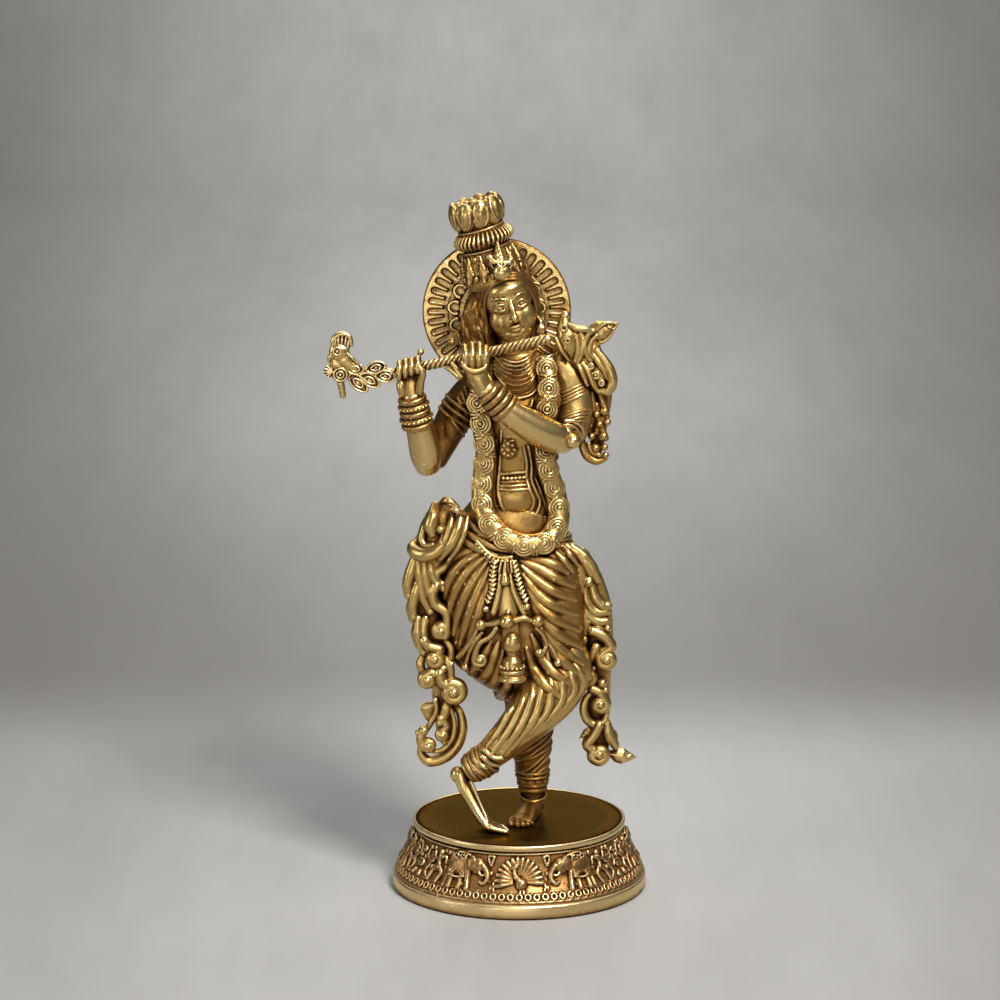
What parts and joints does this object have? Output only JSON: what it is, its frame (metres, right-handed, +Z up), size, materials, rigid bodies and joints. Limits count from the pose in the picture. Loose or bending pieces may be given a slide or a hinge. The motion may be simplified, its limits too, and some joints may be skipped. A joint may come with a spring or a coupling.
{
  "type": "flute-playing deity statue",
  "caption": "Cast brass statue of a standing flute-playing deity with halo, crown, garland and scrolled sashes, crossed legs, on a round flared plinth.",
  "frame": {"origin": "middle of the whole statue's bounding box at the resting plane; the plinth's axis is 15.0 mm to the +X side", "axes": "+Z up, figure faces -Y, the figure's own left side is +X"},
  "size_m": [0.14, 0.11, 0.3048],
  "materials": {
    "polished_brass": "polished, worn bright on raised work",
    "satin_brass": "brushed satin",
    "antique_brass": "antiqued, brown patina left in the recesses",
    "dark_brass": "dark patina, rubbed on raised work",
    "fixing_steel": "zinc plated"
  },
  "bodies": {
    "root": {"crown_jewel": "polished_brass", "crown_lotus": "polished_brass", "elbow_bead": "polished_brass", "flute": "polished_brass", "flute_bird": "polished_brass", "garland": "polished_brass", "halo": "polished_brass", "left_earring": "polished_brass", "left_foot": "polished_brass", "left_forearm": "polished_brass", "right_earring": "polished_brass", "scarf_leaf": "polished_brass", "streamer_leaf": "polished_brass", "bell": "satin_brass", "halo_screw": "satin_brass", "head": "satin_brass", "left_hand": "satin_brass", "left_leg": "satin_brass", "plinth_top": "satin_brass", "right_forearm": "satin_brass", "shoulder_scarf": "satin_brass", "collar": "antique_brass", "crown_band": "antique_brass", "crown_ring": "antique_brass", "dhoti": "antique_brass", "elbow_armlet": "antique_brass", "front_sash": "antique_brass", "girdle": "antique_brass", "hip_knot": "antique_brass", "left_anklet": "antique_brass", "left_bangles": "antique_brass", "left_streamer": "antique_brass", "left_upper_arm": "antique_brass", "plinth_skirt": "antique_brass", "right_anklet": "antique_brass", "right_bangles": "antique_brass", "right_hand": "antique_brass", "right_streamer": "antique_brass", "scarf_fall": "antique_brass", "shoulder_armlet": "antique_brass", "torso": "antique_brass", "hair": "dark_brass", "right_foot": "dark_brass", "right_leg": "dark_brass", "right_upper_arm": "dark_brass", "side_lock": "dark_brass", "heel_nut": "fixing_steel", "heel_washer": "fixing_steel", "toe_nut": "fixing_steel", "toe_washer": "fixing_steel"}
  },
  "joints": []
}
